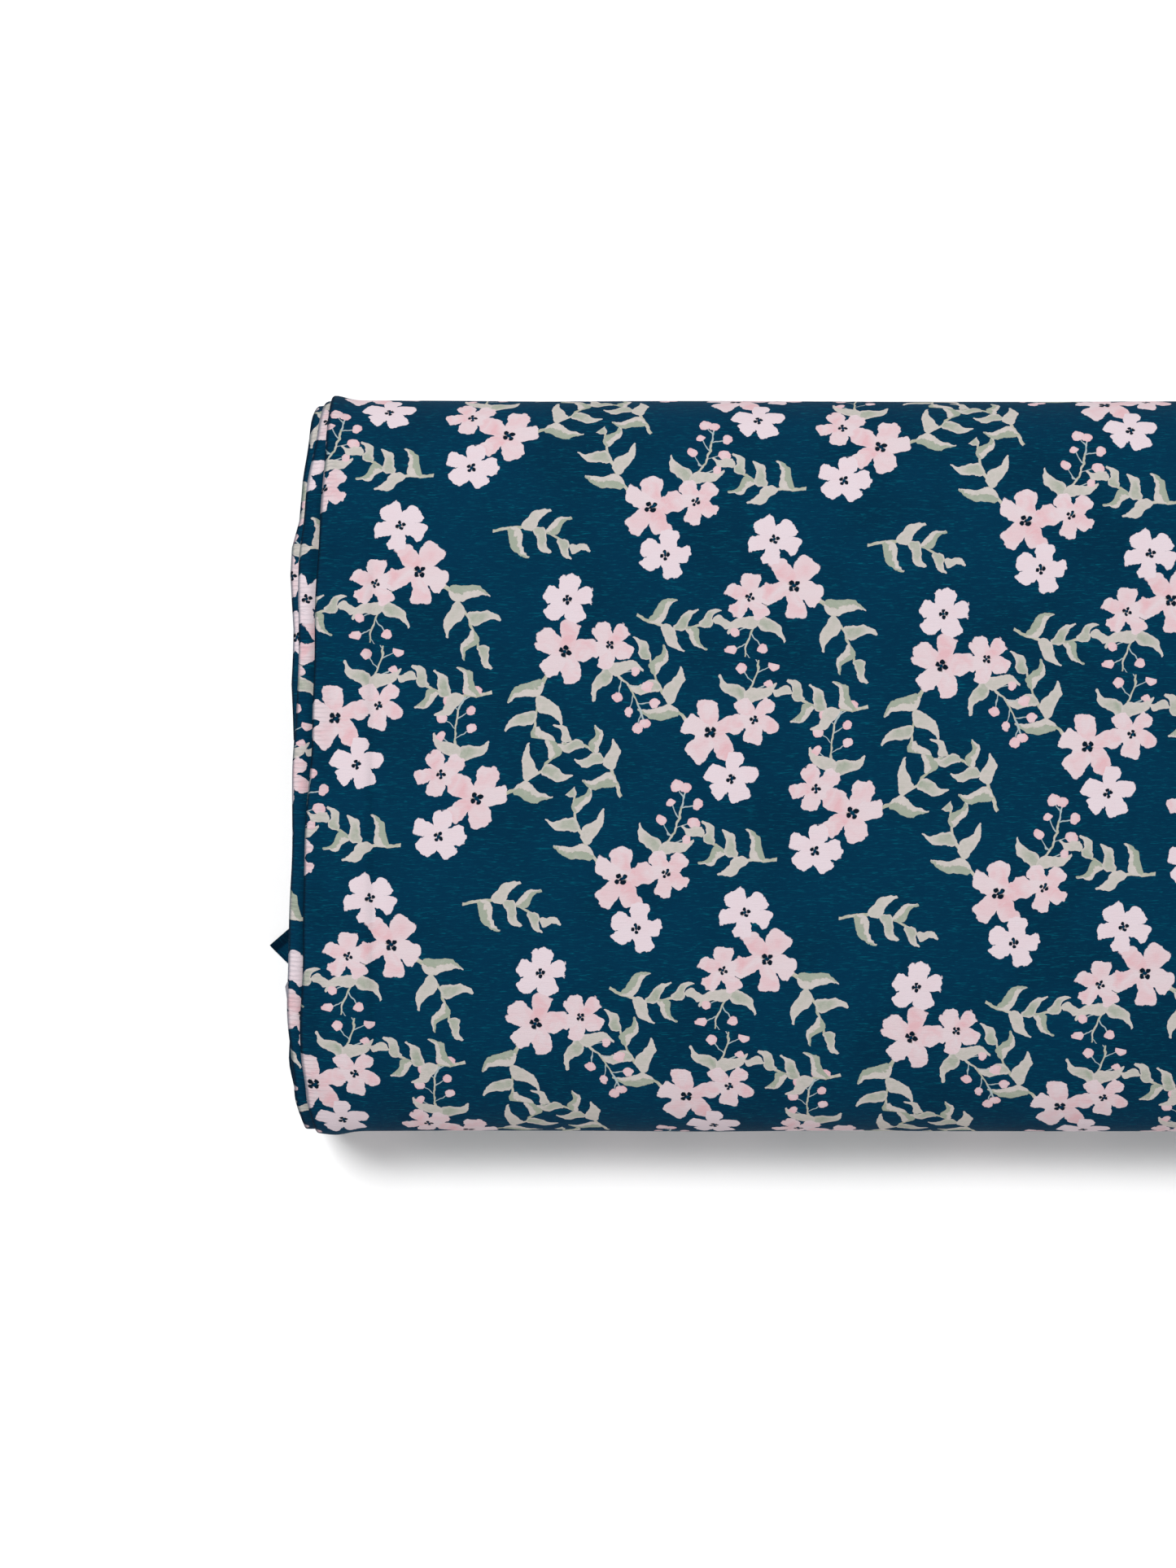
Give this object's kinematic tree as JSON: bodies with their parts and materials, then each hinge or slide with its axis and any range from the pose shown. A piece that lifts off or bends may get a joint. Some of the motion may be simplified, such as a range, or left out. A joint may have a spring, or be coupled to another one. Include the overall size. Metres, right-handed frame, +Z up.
{
  "type": "fabric bolt",
  "caption": "Bolt of printed cloth, folded in half and wound flat round a cardboard board, lying flat, with its loose end hinged underneath.",
  "frame": {"origin": "middle of the bounding box's base, on the surface that the bolt lies on", "axes": "+X along the bolt from the cloth's fold to its selvages, +Y from the front side to the rear side, +Z up"},
  "size_m": [0.762, 0.218, 0.0789],
  "materials": {
    "printed_cloth": "soft brushed cloth with a pink and green floral print",
    "board_card": "plain matt card",
    "tape": "satin",
    "label_paper": "smooth matt"
  },
  "bodies": {
    "bolt": {"core_sleeve": "board_card", "core_stiffener": "board_card", "core_end_cap_left": "board_card", "core_end_cap_right": "board_card", "starter_tape_1": "tape", "starter_tape_2": "tape", "starter_tape_3": "tape", "end_label": "label_paper", "cloth_turn_01": "printed_cloth", "cloth_turn_02": "printed_cloth", "cloth_turn_03": "printed_cloth", "cloth_turn_04": "printed_cloth", "cloth_turn_05": "printed_cloth", "cloth_turn_06": "printed_cloth", "cloth_turn_07": "printed_cloth", "cloth_turn_08": "printed_cloth", "cloth_turn_09": "printed_cloth", "cloth_turn_10": "printed_cloth", "cloth_turn_11": "printed_cloth", "cloth_turn_12": "printed_cloth", "cloth_turn_13": "printed_cloth", "cloth_turn_14": "printed_cloth", "cloth_turn_15": "printed_cloth", "cloth_turn_16": "printed_cloth", "cloth_turn_17": "printed_cloth", "cloth_turn_18": "printed_cloth"},
    "tail": {"cloth_tail": "printed_cloth"}
  },
  "joints": [
    {"name": "tail_lift", "type": "hinge", "parent": "bolt", "child": "tail", "pos_m": [0, 0.07, 0], "axis": [1, 0, 0], "range_deg": [0, 170]}
  ]
}
